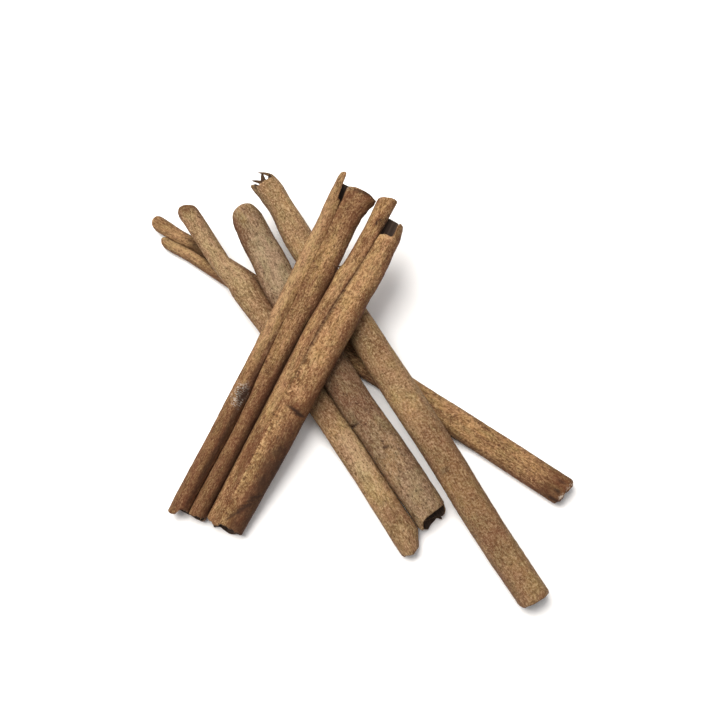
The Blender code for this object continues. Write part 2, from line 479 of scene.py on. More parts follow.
@dataclass(frozen=True)
class ScrapedBark:
    """Dried cassia bark with its cork scraped off: matt, with short fibres along the quill.

    The body colour is what shows most. Crumbs of 0.4 mm make it grainy, fibres of 0.3 by 3 mm give it a
    direction, and blotches, clouds of 2 by 5 mm, dark creases and small pits break it up. A mottle of 3 by 6
    mm turns it a little olive here and a little pink there, as dried bark is.

    Attributes:
        name: the finish's name.
        body: sRGB hex of most of the surface.
        pale: sRGB hex of the raised fibres.
        deep: sRGB hex of the clouds.
        pit: sRGB hex of the small pits.
        warm: sRGB hex of reddish places, and of the painted shade on the flanks.
        gold: sRGB hex of yellowish places.
        grey: sRGB hex of places with a waxy bloom.
        olive: sRGB hex that the mottle's olive places are multiplied by.
        pink: sRGB hex that its pink places are multiplied by.
        pits: how many pits show, 0 to 1.
        clouds: how strong the clouds and blotches are, 0 to 1.
        roughness: of the matt surface.
        twist: how much its patterns wind.
        relief: how high its fibres and crumbs stand, in metres.
    """

    name: str
    body: str
    pale: str
    deep: str
    pit: str
    warm: str = "#54301b"
    gold: str = "#9c7b4a"
    grey: str = "#bfb5a7"
    olive: str = "#e8fdea"
    pink: str = "#ffeefa"
    pits: float = 0.5
    clouds: float = 0.5
    roughness: float = 0.78
    twist: float = 0.25
    relief: float = 0.00022

    def material(self) -> bpy.types.Material:
        """Builds the material.

        Returns:
            The new material.
        """
        nodes = BarkNodes(self.name, self.roughness, self.twist)
        tree = nodes.tree
        marks = nodes.marks()
        # The tone channel holds red and pale stains, and painted shade on the flanks.
        tone_and_painted_shade = marks[Mark.TONE]
        fibres = nodes.pattern(0.26, 3.0, 4.0, 0.75)
        crumbs = nodes.pattern(0.4, 0.75, 4.0, 0.8)
        blotches = nodes.pattern(1.1, 1.8, 4.0, 0.75)
        clouds = nodes.pattern(2.2, 4.5, 5.0, 0.68)
        hues = nodes.pattern(6.0, 15.0, 2.0, 0.5)
        mottle = nodes.pattern(2.6, 6.0, 3.0, 0.6)
        pits = nodes.pattern(0.75, 1.1, 2.0, 0.55)
        folds = nodes.pattern(1.5, 1.1, 2.0, 0.5)

        # A crease runs where the folds pass through their middle, but only in some places.
        creases = add(tree, "Math", {0: folds}, operation="SUBTRACT", inputs={1: 0.5}).outputs[0]
        creases = add(tree, "Math", {0: creases}, operation="ABSOLUTE").outputs[0]
        span = {"From Min": 0.02, "From Max": 0.0}
        creases = add(tree, "MapRange", {"Value": creases}, inputs=span).outputs[0]
        some = nodes.pattern(4.0, 7.0, 2.0)
        span = {"From Min": 0.5, "From Max": 0.6}
        some = add(tree, "MapRange", {"Value": some}, inputs=span).outputs[0]
        creases = add(tree, "Math", {0: creases, 1: some}, operation="MULTIPLY").outputs[0]

        # Grey cork is left in short streaks across the quill.
        streaks = nodes.pattern(0.9, 0.35, 3.0)
        span = {"From Min": 0.5, "From Max": 0.55}
        streaks = add(tree, "MapRange", {"Value": streaks}, inputs=span).outputs[0]
        streaks = add(tree, "Math", {0: marks[Mark.GREY], 1: streaks}, operation="MULTIPLY").outputs[0]

        # From the bottom up: a colour, the pattern that shows it, its range from none to most, and the most.
        colour: Socket | str = self.body
        for layer, source, low, high, most in (
            (self.warm, hues, 0.46, 0.64, 0.45),
            (self.gold, hues, 0.5, 0.36, 0.4),
            (self.deep, clouds, 0.44, 0.62, self.clouds),
            # The tone channel: painted flank shade and red stains in dark red-brown, pale stains in the pale
            # colour.
            (self.warm, tone_and_painted_shade, 0.5, 1.0, 0.6),
            (self.pale, tone_and_painted_shade, 0.5, 0.0, 0.75),
            (self.deep, blotches, 0.5, 0.6, 0.8 * self.clouds),
            (self.pale, blotches, 0.47, 0.37, 0.6 * self.clouds),
            (self.pale, fibres, 0.52, 0.66, 0.6),
            (self.pit, fibres, 0.47, 0.34, 0.65),
            (self.pale, crumbs, 0.52, 0.63, 0.8),
            (self.pit, crumbs, 0.475, 0.37, 0.78),
            # Painted flank shade and red stains once more, over the grain.
            (self.warm, tone_and_painted_shade, 0.5, 1.0, 0.7),
            (self.olive, mottle, 0.5, 0.36, 0.36),
            (self.pink, mottle, 0.5, 0.64, 0.4),
            (self.pit, creases, 0.0, 1.0, 0.6),
            (self.pit, pits, 0.70 - 0.10 * self.pits, 0.77 - 0.06 * self.pits, 0.75),
        ):
            blend = "MULTIPLY" if layer in (self.olive, self.pink) else "MIX"
            colour = nodes.lay(colour, layer, source, (low, high), most, blend)
        colour = nodes.lay(colour, self.grey, streaks)
        # The dark channel lays dirt, cracks and knots, and painted shade on flanks, in shut seams and under a
        # crossing quill.
        colour = nodes.lay(colour, DIRT_AND_PAINTED_SHADE, marks[Mark.DARK], (0.0, 1.0), 0.95)
        height = add(tree, "Math", {0: fibres, 1: pits}, operation="SUBTRACT").outputs[0]
        height = add(tree, "Math", {0: height, 1: crumbs}, operation="ADD").outputs[0]
        return nodes.finish(colour, height, 1.0, self.relief)


@dataclass(frozen=True)
class InnerBark:
    """The smooth inner side of the bark, dark with dried oil, with faint lines along the quill.

    Attributes:
        name: the finish's name.
        body: sRGB hex of the surface.
        lines: sRGB hex of the lines along it.
        roughness: of the surface.
    """

    name: str
    body: str = "#43342a"
    lines: str = "#261a12"
    roughness: float = 0.7

    def material(self) -> bpy.types.Material:
        """Builds the material.

        Returns:
            The new material.
        """
        nodes = BarkNodes(self.name, self.roughness)
        lines = nodes.pattern(0.6, 14, 4.0)
        colour = nodes.lay(self.lines, self.body, lines, (0.35, 0.65))
        return nodes.finish(colour, lines, 0.6, 0.0001)


@dataclass(frozen=True)
class BrokenBark:
    """The torn edge of the sheet: paler, dry and short-grained, with dark specks of dirt.

    Attributes:
        name: the finish's name.
        body: sRGB hex of the fresh break.
        dark: sRGB hex of the older parts of it.
        roughness: of the surface.
    """

    name: str
    body: str = "#b08c64"
    dark: str = "#6a4a31"
    roughness: float = 0.9

    def material(self) -> bpy.types.Material:
        """Builds the material.

        Returns:
            The new material.
        """
        nodes = BarkNodes(self.name, self.roughness)
        crumbs = nodes.pattern(0.5, 0.8, 4.0, 0.65)
        colour = nodes.lay(self.dark, self.body, crumbs, (0.4, 0.62))
        # The dark marks lay dirt here, and painted shade along some torn rims.
        colour = nodes.lay(colour, DIRT_AND_PAINTED_SHADE, nodes.marks()[Mark.DARK])
        return nodes.finish(colour, crumbs, 0.8, 0.00015)


# Scraped pale, scraped less and tanned by the sun, red inner layers that show, and a rest of grey cork.
PALE_FINISH = ScrapedBark(
    "scraped_bark_pale", "#8c6e4b", "#b59a76", "#6c4e33", "#3f2b19", pits=0.35, clouds=0.5
)
TAN_FINISH = ScrapedBark(
    "scraped_bark_tan", "#886641", "#b49269", "#613f28", "#3a2415", pits=0.45, clouds=0.7
)
RED_FINISH = ScrapedBark(
    "scraped_bark_red", "#906b45", "#bd9a6f", "#6c4429", "#3e2818", pits=0.5, clouds=0.75
)
GREY_FINISH = ScrapedBark(
    "bark_with_grey_cork", "#806549", "#a48e71", "#5d442f", "#322216", pits=0.75, clouds=0.55
)
INNER_FINISH = InnerBark("inner_bark_oily")
BROKEN_FINISH = BrokenBark("broken_bark_edge")


@dataclass(kw_only=True)
class Quill:
    """One quill: where it lies, how it bends, how its ends broke off and what marks its bark.

    Attributes:
        name: the CAD node that it stands for, and its own name with _bark after it.
        slot: the name of its material slot; not used here.
        finish: the outside of its bark.
        foot: where its lower end lies, in the plan.
        heading: degrees from +X to the way it points, foot to tip.
        length: from foot to tip.
        lift: how high its underside is at the foot and at the tip.
        sway: how far it bends to its right along its length.
        tall: how high it stands over its underside along its length.
        foot_reach: (turn, millimetres) that each place of the sheet reaches past the foot.
        tip_reach: the same past the tip.
        roll: degrees that it is turned over about its own length.
        crown: how far the bark bulges out between two rolls.
        tear: how ragged the two ends are, in millimetres.
        worn: how far from each end the outside is worn round, in millimetres.
        relief: how high its ridges stand, in millimetres.
        tone_and_painted_shade: (turn, tone) round the curl: painted shade that darkens and reddens the flanks
            turned away from the light, partly the bark's own redder sides.
        patches: stains and scars, and patches of painted shade.
        splinters: strips torn half off.
        across_mm: half of the flattened sheet's width in millimetres, which its bark is patterned by.
        columns: how many columns its mesh has across the sheet.
        row_mm: millimetres between the rows of its mesh.
    """

    name: str
    slot: str
    finish: ScrapedBark
    foot: tuple[float, float]
    heading: float
    length: float
    lift: tuple[float, float]
    sway: Stops
    tall: Stops
    foot_reach: Stops
    tip_reach: Stops
    roll: float = 0.0
    crown: float = 0.3
    tear: tuple[float, float] = (0.3, 0.3)
    worn: tuple[float, float] = (0.4, 0.4)
    relief: float = 0.1
    tone_and_painted_shade: Stops = ((0, 0),)
    patches: tuple[Patch, ...] = ()
    splinters: tuple[Splinter, ...] = ()
    across_mm: float = 40.0
    columns: int = 120
    row_mm: float = 0.5

    def turned(self, sheet: Array) -> Array:
        """Degrees that the bark has turned at each place across the sheet."""
        raise NotImplementedError

    def middle(self, sheet: Array, f: Array) -> tuple[Array, Array]:
        """The line halfway through the bark, on a plane across the quill."""
        raise NotImplementedError

    def corners(self) -> Array:
        """Places across the sheet that its mesh has columns at, as well as its even ones."""
        return np.empty(0)

    def calm(self, sheet: Array, f: Array) -> Array:
        """How much of the unevenness each place keeps, 0 to 1."""
        return np.ones(np.broadcast(sheet, f).shape)

    @property
    def seed(self) -> float:
        """A number of the quill's own, for its unevenness."""
        return (self.heading * 7.3 + self.length * 3.1) % 97

    def height(self, f: Array) -> Array:
        """How high the quill stands over its underside."""
        return eased(self.tall, f)

    def place(self, sheet: Array, distance: Array, depth: Array) -> Array:
        """Finds points of the quill.

        Args:
            sheet: places across, from -1 to 1.
            distance: millimetres from the foot.
            depth: millimetres out of the middle of the bark.

        Returns:
            Points in metres, in the quill's own frame: right, ahead and up.
        """
        f = distance / self.length
        x, z = self.middle(sheet, f)
        x0, z0 = self.middle(np.clip(sheet - SHEET_STEP, -1, 1), f)
        x1, z1 = self.middle(np.clip(sheet + SHEET_STEP, -1, 1), f)
        size = np.hypot(x1 - x0, z1 - z0)
        x = x + depth * (z1 - z0) / size
        z = z - depth * (x1 - x0) / size - self.height(f) / 2
        turn = math.radians(self.roll)
        across = x * math.cos(turn) - z * math.sin(turn) + eased(self.sway, f)
        above = x * math.sin(turn) + z * math.cos(turn) + self.height(f) / 2
        return np.stack([across, distance, above], axis=-1) * MM

    def ends(self, sheet: Array) -> tuple[Array, Array]:
        """Where each place across the sheet starts and stops, torn unevenly.

        Args:
            sheet: places across.

        Returns:
            Millimetres from the foot of the two ends.
        """
        turn = self.turned(sheet)
        u = sheet * self.across_mm
        first = -np.interp(turn, *zip(*self.foot_reach)) + self.tear[0] * FOOT_TEARS.at(u, u * 0, self.seed)
        last = self.length + np.interp(turn, *zip(*self.tip_reach))
        last = last + self.tear[1] * TIP_TEARS.at(u, u * 0, self.seed)
        return first, last

    def marks(self, sheet: Array, distance: Array) -> tuple[Array, Array]:
        """Colours and depths of the quill's patches, laid over the painted shade of its flanks.

        Args:
            sheet: places across.
            distance: millimetres from the foot.

        Returns:
            The three mark channels with alpha, and the millimetres that the surface is sunk.
        """
        across = sheet * self.across_mm
        colour = np.zeros((*distance.shape, 4))
        colour[..., 3] = 1
        sunk = np.zeros(distance.shape)
        # The tone channel starts from the painted shade of the flanks, set by the turn round the curl.
        uneven = TONE_LEVEL + TONE_UNEVEN * TONES.at(across, distance, self.seed)
        colour[..., Mark.TONE.value] = np.clip(eased(self.tone_and_painted_shade, self.turned(sheet)) * uneven, -1, 1)
        places = np.linspace(-1, 1, PATCH_TRIES)
        turns = self.turned(places)
        for patch in self.patches:
            middle = places[np.abs(turns - patch.turn).argmin()] * self.across_mm
            cover = patch.cover(across, distance, middle)
            channel = patch.mark.value
            added = colour[..., channel] + cover * patch.strength
            colour[..., channel] = np.clip(added, -1 if patch.mark is Mark.TONE else 0, 1)
            sunk += cover * patch.sunk
        colour[..., Mark.TONE.value] = 0.5 + colour[..., Mark.TONE.value] / 2
        return colour, sunk

    def build(self) -> bpy.types.Object:
        """Makes the quill's mesh.

        Returns:
            The object, in its place in the stack.
        """
        inset = RIM_INSET / self.across_mm
        even = np.linspace(-1 + 2 * inset, 1 - 2 * inset, self.columns - 4)
        inside = np.sort(np.concatenate([even, self.corners()]))
        sheet = np.concatenate([[-1, -1 + inset], inside, [1 - inset, 1]])
        rows = round(self.length / self.row_mm)
        near = RIM_INSET / self.length
        even = np.linspace(2 * near, 1 - 2 * near, rows - 4)
        share = np.concatenate([[0, near], even, [1 - near, 1]])[:, None]
        first, last = self.ends(sheet)
        distance = first * (1 - share) + last * share
        across = np.broadcast_to(sheet, distance.shape)
        u = across * self.across_mm
        edge = np.minimum(distance - first, last - distance)
        edge = np.minimum(edge, (1 - np.abs(across)) * self.across_mm)
        rounding = BARK / 2 * np.clip(1 - edge / ROUND_REACH, 0, 1) ** 2 * ROUND_SHARE
        thinning = THIN_SHARE * BARK * np.clip(1 - edge / THIN_REACH, 0, 1)
        wear = np.zeros(edge.shape)
        for worn, inward in zip(self.worn, (distance - first, last - distance)):
            wear += WEAR_SHARE * worn * np.clip(1 - inward / worn, 0, 1) ** 2
        colour, sunk = self.marks(across, distance)
        ridges = RIDGES.at(u, distance, self.seed) + SWELL_SHARE * SWELLS.at(u, distance, self.seed)
        out = self.relief * ridges + CRUMB_HEIGHT * CRUMBS.at(u, distance, self.seed)
        out = out * self.calm(across, distance / self.length) - sunk - wear
        outer = self.place(across, distance, BARK / 2 - rounding + out)
        back = rounding + thinning + INSIDE_RIDGES * self.relief * ridges - wear
        inner = self.place(across, distance, -BARK / 2 + back)
        grain = np.stack([u, distance, np.full(u.shape, self.seed)], axis=-1)
        rise = math.asin((self.lift[1] - self.lift[0]) / self.length)

        # What would sink into the floor is pressed flat on it.
        for side in (outer, inner):
            drop = self.lift[0] * MM + side[..., 1] * math.sin(rise) + side[..., 2] * math.cos(rise)
            side[..., 2] += np.clip(-drop, 0, None) / math.cos(rise)
        rings = np.concatenate([outer, inner[:, ::-1]], axis=1)
        grains = np.concatenate([grain, grain[:, ::-1]], axis=1)
        colours = np.concatenate([colour, colour[:, ::-1] * INSIDE_MARKS], axis=1)
        quill = self.close(rings, grains, colours)
        quill.location = (self.foot[0] * MM, self.foot[1] * MM, self.lift[0] * MM)
        quill.rotation_euler = (rise, 0, math.radians(self.heading - 90))
        return quill

    def close(self, rings: Array, grains: Array, colours: Array) -> bpy.types.Object:
        """Joins rings of points into one closed mesh.

        Args:
            rings: rows of points, each out along the outside of the bark and back along its inside.
            grains: each point's place on the sheet.
            colours: each point's marks.

        Returns:
            The new object.
        """
        rows, ring, _ = rings.shape
        half = ring // 2
        row, column = np.meshgrid(np.arange(rows - 1), np.arange(ring), indexing="ij")
        a = row * ring + column
        b = row * ring + (column + 1) % ring
        sides = np.stack([a, a + ring, b + ring, b], axis=-1).reshape(-1, 4)
        sort = np.zeros((rows - 1, ring), int)
        sort[:, half:] = INSIDE
        sort[:, [half - 1, ring - 1]] = BROKEN
        c = np.arange(half - 1)
        foot = np.stack([c, c + 1, ring - 2 - c, ring - 1 - c], axis=-1)
        tip = foot[:, ::-1] + (rows - 1) * ring
        faces = np.concatenate([sides, foot, tip])
        sorts = np.concatenate([sort.ravel(), np.full(2 * (half - 1), BROKEN)])
        points, faces, sorts = [rings.reshape(-1, 3)], faces.tolist(), sorts.tolist()
        places, shades = [grains.reshape(-1, 3)], [colours.reshape(-1, 4)]
        for splinter in self.splinters:
            start = sum(map(len, points))
            strip, place = splinter.rings()
            rows, sides, _ = strip.shape
            for row in range(rows - 1):
                for side in range(sides):
                    a, b = start + row * sides + side, start + row * sides + (side + 1) % sides
                    faces.append([a, a + sides, b + sides, b])
            stop = start + rows * sides
            faces += [list(range(start, start + sides)), list(range(stop - 1, stop - 1 - sides, -1))]
            sorts += [OUTSIDE] * ((rows - 1) * sides + 2)
            points.append(strip.reshape(-1, 3))
            places.append(place.reshape(-1, 3))
            shades.append(np.tile((SPLINTER_TONE, splinter.dark, 0, 1), (rows * sides, 1)))
        grains, colours = np.concatenate(places), np.concatenate(shades)
        mesh = bpy.data.meshes.new(self.name + "_bark")
        mesh.from_pydata(np.concatenate(points), [], faces)
        mesh.shade_smooth()
        mesh.polygons.foreach_set("material_index", sorts)
        mesh.set_sharp_from_angle(angle=math.radians(SHARP_ANGLE))
        mesh.attributes.new("grain", "FLOAT_VECTOR", "POINT").data.foreach_set("vector", grains.ravel())
        mesh.attributes.new("marks", "FLOAT_COLOR", "POINT").data.foreach_set("color", colours.ravel())
        quill = bpy.data.objects.new(self.name + "_bark", mesh)
        bpy.context.scene.collection.objects.link(quill)
        return quill

    def dress(self, quill: bpy.types.Object) -> None:
        """Gives the outside, the inside and the broken edges their finishes."""
        for finish in (self.finish, INNER_FINISH, BROKEN_FINISH):
            quill.data.materials.append(bpy.data.materials.get(finish.name) or finish.material())

    def make(self) -> bpy.types.Object:
        """Builds and dresses the quill, and has it stand for its node.

        Returns:
            The finished piece.
        """
        quill = self.build()
        self.dress(quill)
        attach(quill, "root")
        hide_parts(self.name)
        return quill


@dataclass(kw_only=True)
class DoubleScroll(Quill):
    """A sheet with both long edges rolled in. Its seam is at the top where roll is 0.

    Attributes:
        left: outer width of the left roll along the quill.
        right: outer width of the right roll.
        flush: how squarely the two rolls close at the seam, 0 to 1.
        shut: how far the seam has closed up to a hairline, 0 to 1.
        sweep: degrees that each roll turns.
    """

    left: Stops
    right: Stops
    flush: Stops = ((0, 0),)
    shut: Stops = ((0, 0),)
    sweep: tuple[float, float] = (400, 400)

    def turned(self, sheet: Array) -> Array:
        """Degrees turned, negative in the left roll."""
        sweep = np.where(sheet < 0, self.sweep[0], self.sweep[1])
        return np.sign(sheet) * sweep * np.clip(np.abs(sheet) - LINK_SHARE, 0, 1) / (1 - LINK_SHARE)

    def corners(self) -> Array:
        """Finds the corner that each roll has at a seam that is shut.

        Returns:
            The two corners' places across the sheet, each with one on both sides of it.
        """
        places = np.linspace(-1, 1, CORNER_TRIES)
        turns = self.turned(places)
        middles = [places[np.abs(turns - turn).argmin()] for turn in (-SEAM_CORNER, SEAM_CORNER)]
        step = CORNER_STEP / self.across_mm
        return np.array([middle + aside for middle in middles for aside in (-step, 0, step)])

    def calm(self, sheet: Array, f: Array) -> Array:
        """Less unevenness near a seam that is shut."""
        near = np.exp(-(((np.abs(self.turned(sheet)) - SEAM_CORNER) / SEAM_CALM) ** 2))
        return 1 - eased(self.shut, f) * near

    def middle(self, sheet: Array, f: Array) -> tuple[Array, Array]:
        """The line halfway through the bark: right and up of the quill's underside.

        Args:
            sheet: places across.
            f: fractions of the length.

        Returns:
            Millimetres right and up.
        """
        side = np.where(sheet < 0, -1.0, 1.0)
        across = np.where(sheet < 0, eased(self.left, f), eased(self.right, f))
        shut = eased(self.shut, f)
        gap = SEAM_GAP * (1 - SHUT_NARROWING * shut)
        radius = (across + PITCH - gap / 2) / 2
        tall = self.height(f) + PITCH / 2
        turn = np.abs(self.turned(sheet))
        angle = np.radians(-90 - turn)
        inset = BARK / 2 + PITCH * turn / 360
        cos, sin = np.cos(angle), np.sin(angle)

        # A power of 2 keeps the roll round, and a higher one squares its corner at the seam.
        squared = FLUSH_POWER * eased(self.flush, f) + SHUT_POWER * shut**2
        power = 2 + squared * ((turn > TOP_TURN) & (turn < SEAM_TURN))
        wide = np.maximum(np.abs(cos), np.abs(sin))
        square = ((np.abs(cos) / wide) ** power + (np.abs(sin) / wide) ** power) ** (-1 / power) / wide
        centre = radius - SEAM_WINDING * PITCH + gap / 2
        link = np.clip(np.abs(sheet) / LINK_SHARE, 0, 1)
        x = side * (centre * link - (radius - inset) * square * cos)
        z = tall / 2 + (tall / 2 - inset) * square * sin
        hump = np.clip(1 - (x / (2 * radius)) ** 2, 0, 1)
        below = self.crown * hump * np.clip(1 - z / tall, 0, 1)
        above = SHUT_SWELL * shut * hump * np.clip(z / tall, 0, 1)
        return x, z - below + above


@dataclass(kw_only=True)
class SingleScroll(Quill):
    """A sheet rolled up from one long edge. Its outer edge lies at the lower right.

    Attributes:
        width: outer width along the quill.
        sweep: degrees that it turns in all.
        outer_edge: where its outer edge lies, in degrees up from the right.
    """

    width: Stops
    sweep: float = 430.0
    outer_edge: float = -60.0

    def turned(self, sheet: Array) -> Array:
        """Degrees turned, from 0 at the outer edge."""
        return (1 - sheet) / 2 * self.sweep

    def middle(self, sheet: Array, f: Array) -> tuple[Array, Array]:
        """The line halfway through the bark: right and up of the quill's underside.

        Args:
            sheet: places across.
            f: fractions of the length.

        Returns:
            Millimetres right and up.
        """
        turn = self.turned(sheet)
        angle = np.radians(self.outer_edge - turn)
        inset = BARK / 2 + PITCH * turn / 360
        half_width = eased(self.width, f) / 2
        half_height = self.height(f) / 2
        x = (half_width + SPIRAL_SIDE - inset) * np.cos(angle) + SPIRAL_SHIFT
        z = (half_height + SPIRAL_TOP - inset) * np.sin(angle) + half_height + SPIRAL_SHIFT
        return x, z


LEANING_LEFT = DoubleScroll(
    name="leaning_quill_left",
    slot="tan_bark",
    finish=TAN_FINISH,
    foot=(-47.5, -39.6),
    heading=63.9,
    length=108.3,
    lift=(0.4, 22.2),
    sway=((0, 0.4), (0.28, 1.3), (0.6, 0.9), (0.85, 0.6), (1, -0.4)),
    left=((0, 5.7), (0.28, 6.0), (0.5, 5.3), (0.8, 5.1), (0.9, 4.7), (1, 4.0)),
    right=(
        (0, 5.45), (0.28, 4.95), (0.39, 5.3), (0.45, 5.65), (0.56, 6.0), (0.66, 6.6), (0.74, 7.05),
        (0.8, 7.0), (0.88, 6.9), (0.92, 7.4), (0.95, 8.4), (0.975, 9.5), (1, 9.9),
    ),
    tall=((0, 5.4), (0.85, 5.4), (1, 6.2)),
    flush=((0, 0), (0.42, 0.1), (0.62, 0.8), (1, 0.9)),
    shut=((0, 0), (0.3, 0), (0.7, 0.5), (0.88, 0.5), (0.96, 0)),
    sweep=(350, 400),
    foot_reach=(
        (-200, -0.4), (-190, -0.2), (-178, 1.2), (-150, 1.8), (-90, 1.6), (-40, -0.3), (40, -0.1), (90, -1.3),
        (150, -0.6), (200, -0.2),
    ),
    tip_reach=(
        (-350, -8), (-250, -6.4), (-214, -6.0), (-207, -3.6), (-202, -0.9), (-199, 1.0), (-194, 1.8),
        (-185, 2.1), (-170, 2.3), (-150, 2.3), (-130, 1.9), (-112, 1.1), (-90, 0.2), (-40, 0.2), (0, 0.2),
        (60, -1.0), (90, -1.7), (110, -1.6), (140, -1.1), (165, -0.8), (200, -0.8), (225, -1.3), (270, -2.2),
    ),
    tear=(0.25, 0.1),
    # Painted shade: darker and redder on the flanks, by turn round the curl.
    tone_and_painted_shade=(
        (-240, 1), (-208, 0.8), (-180, 0.1), (-140, 0.1), (-90, 0.8), (0, 0.7), (90, 1), (130, 0.8),
        (165, 0.1), (190, 0.05), (235, 0.6),
    ),
    across_mm=24.0,
    columns=130,
    patches=(
        tone(78, -168, (30, 4.2), -0.9),
        tone(101, 135, (10, 7), 0.6),
        tone(96, 168, (12, 4), -0.3),
        tone(16, -160, (30, 7), 0.6),
        # Painted shade on the left roll's slope down into the seam.
        dark(26, -220, (34, 1.4), 0.6),
        # The next two: painted shade on the right roll's lower flank, partly its own redder colour.
        dark(30, 100, (44, 2.6), 0.5),
        tone(20, 130, (34, 6), 0.65),
        grey(37.2, -190, (3.6, 3.0), 0.85, ragged=1.0),
        dark(37.2, -196, (2.6, 2.2), 0.8, ragged=1.0),
        # Painted shade along the right roll's torn rim at the tip.
        dark(107.2, 130, (0.7, 4.4), 0.95, lean=8),
        grey(106.3, 222, (0.5, 0.45), 1.0),
    ),
)

LEANING_RIGHT = DoubleScroll(
    name="leaning_quill_right",
    slot="red_bark",
    finish=RED_FINISH,
    foot=(-37.5, -43.0),
    heading=62.3,
    length=106.6,
    lift=(0.5, 23.3),
    sway=((0, -0.4), (0.58, -0.4), (0.88, 1.9), (1, 2.1)),
    left=(
        (0, 4.2), (0.2, 4.3), (0.5, 4.45), (0.64, 4.6), (0.7, 4.95), (0.76, 5.6), (0.79, 5.25), (0.9, 5.3),
        (1, 5.8),
    ),
    right=((0, 7.1), (0.3, 7.9), (0.5, 8.3), (0.62, 8.5), (0.75, 7.3), (0.9, 6.1), (0.96, 5.0), (1, 4.4)),
    tall=((0, 5.2), (0.5, 5.8), (0.9, 5.6), (1, 5.2)),
    flush=((0, 0.9), (0.5, 0.9), (0.66, 0.5), (1, 0.3)),
    sweep=(370, 420),
    foot_reach=(
        (-200, 0.5), (-90, -0.6), (-40, -0.2), (-8, 0.3), (0, 0.8), (8, 0.7), (30, -0.1), (60, -0.5),
        (110, -0.4), (145, -0.3), (163, -0.7), (176, -0.1), (200, -0.1), (220, -0.6), (232, -0.2),
    ),
    tip_reach=(
        (-200, 0.9), (-90, -0.8), (-40, -1.5), (0, -4.2), (45, -5.4), (75, -6.0), (95, -5.2), (125, -4.9),
        (138, -5.4), (146, -6.6), (150, -9.0), (158, -10.0), (200, -10.2), (225, -10.6), (245, -11.4),
        (300, -9),
    ),
    tear=(0.35, 0.15),
    shut=((0, 0.6), (0.08, 1), (0.55, 1), (0.78, 0.6), (0.94, 0)),
    # Painted shade: darker and redder on the flanks, by turn round the curl.
    tone_and_painted_shade=(
        (-230, 0.6), (-200, 0.15), (-150, 0), (-118, 0.6), (-90, 1), (0, 0.7), (95, 1), (130, 0.75),
        (160, 0.15), (200, 0),
    ),
    splinters=(
        Splinter(((-2.8, 82.8, 3.6), (-4.2, 82.2, 4.2), (-5.3, 81.6, 4.3), (-5.9, 82.0, 4.0)), 0.7, 0.6, 0.9),
    ),
    across_mm=26.0,
    columns=160,
    row_mm=0.42,
    patches=(
        tone(84, 165, (14, 4), -0.3),
        # Painted shade on the right flank by the foot, partly its own red colour.
        tone(14, 122, (30, 5.0), 0.8),
        tone(40, -190, (13, 2.6), -0.5),
        tone(23, -185, (12, 3.2), 0.7),
        tone(79, -185, (8, 2.6), -0.45),
        # Painted shade on the right flank.
        dark(25, 138, (13, 3.4), 0.33, ragged=0.6),
        tone(96.0, 190, (0.6, 4.5), -1.0),
        tone(101, 112, (3, 1.6), -0.7),
        # Painted shade low on the right flank.
        dark(10, 104, (22, 4.2), 0.66),
        # A fan of six wrinkles.
        dark(3.4, 195, (2.6, 0.3), 0.8, lean=-35, sunk=0.12),
        dark(5.0, 185, (2.8, 0.3), 0.75, lean=-40, sunk=0.12),
        dark(6.6, 172, (2.8, 0.3), 0.7, lean=-45, sunk=0.12),
        dark(8.2, 160, (2.6, 0.3), 0.65, lean=-50, sunk=0.12),
        dark(9.8, 150, (2.2, 0.3), 0.6, lean=-50, sunk=0.12),
        dark(11.3, 140, (2.0, 0.3), 0.6, lean=-55, sunk=0.12),
        tone(92.4, -172, (1.5, 1.5), 0.8),
        # The next two: painted shade in the shut seam, a dark line on each side of it.
        dark(68, 226, (26, 0.3), 0.6),
        dark(68, -226, (26, 0.3), 0.6),
        # Painted shade on the left flank, where it lies against the left quill.
        dark(34, -95, (40, 2.4), 0.5),
        tone(5, 150, (8, 9), 0.4),
        dark(38.5, 168, (0.55, 2.5), 1.0, lean=-6, sunk=0.35),
        dark(37.9, 134, (0.42, 2.2), 0.85, lean=10, sunk=0.25),
        tone(39.6, 155, (1.8, 4.6), 0.8, sunk=-0.12),
        dark(98.5, -188, (0.9, 0.4), 0.9, lean=30, sunk=0.2),
        dark(99.8, -202, (0.4, 0.8), 0.8, sunk=0.15),
        tone(98.9, -192, (1.6, 1.6), 0.8, sunk=-0.15),
        dark(29.7, -198, (0.5, 0.5), 0.6),
        dark(29.3, 177, (0.5, 0.4), 0.6),
    ),
)

